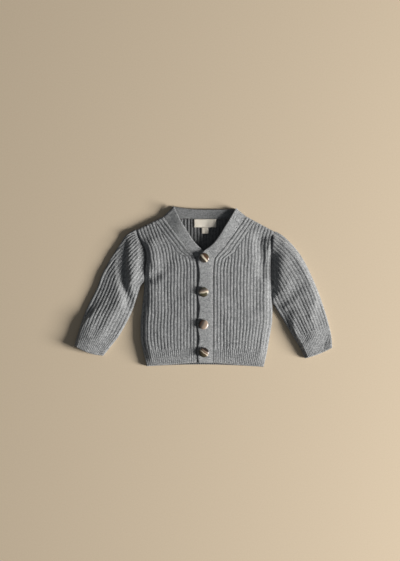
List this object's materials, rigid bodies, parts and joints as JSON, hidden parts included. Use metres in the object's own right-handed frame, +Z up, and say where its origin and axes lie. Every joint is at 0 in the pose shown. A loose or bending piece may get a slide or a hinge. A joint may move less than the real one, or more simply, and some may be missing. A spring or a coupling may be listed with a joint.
{
  "type": "baby cardigan",
  "caption": "Ribbed knit baby cardigan with a V neck, smooth knit button band and domed horn buttons, laid flat on its back with the sleeves spread.",
  "frame": {"origin": "on the surface it lies on, under the middle of the garment's bounding box", "axes": "+X toward the wearer's left sleeve, along the spread sleeves; +Y from the hem toward the neck; +Z up from the surface, out of the fronts"},
  "size_m": [0.465, 0.2902, 0.017],
  "materials": {
    "rib_knit": "heather grey wool in 2x1 rib, matt with a soft nap",
    "band_knit": "heather grey wool in fine flat knit, matt with a soft nap",
    "woven_label": "cream woven tape, bare",
    "horn_button": "polished dark horn look with pale streaks"
  },
  "bodies": {
    "root": {"back_panel": "rib_knit", "left_front": "rib_knit", "right_front": "rib_knit", "left_sleeve": "rib_knit", "right_sleeve": "rib_knit", "left_front_band": "band_knit", "right_front_band": "band_knit", "back_neck_band": "band_knit", "neck_label": "woven_label", "size_tab": "woven_label", "button_1": "horn_button", "button_2": "horn_button", "button_3": "horn_button", "button_4": "horn_button"}
  },
  "joints": []
}
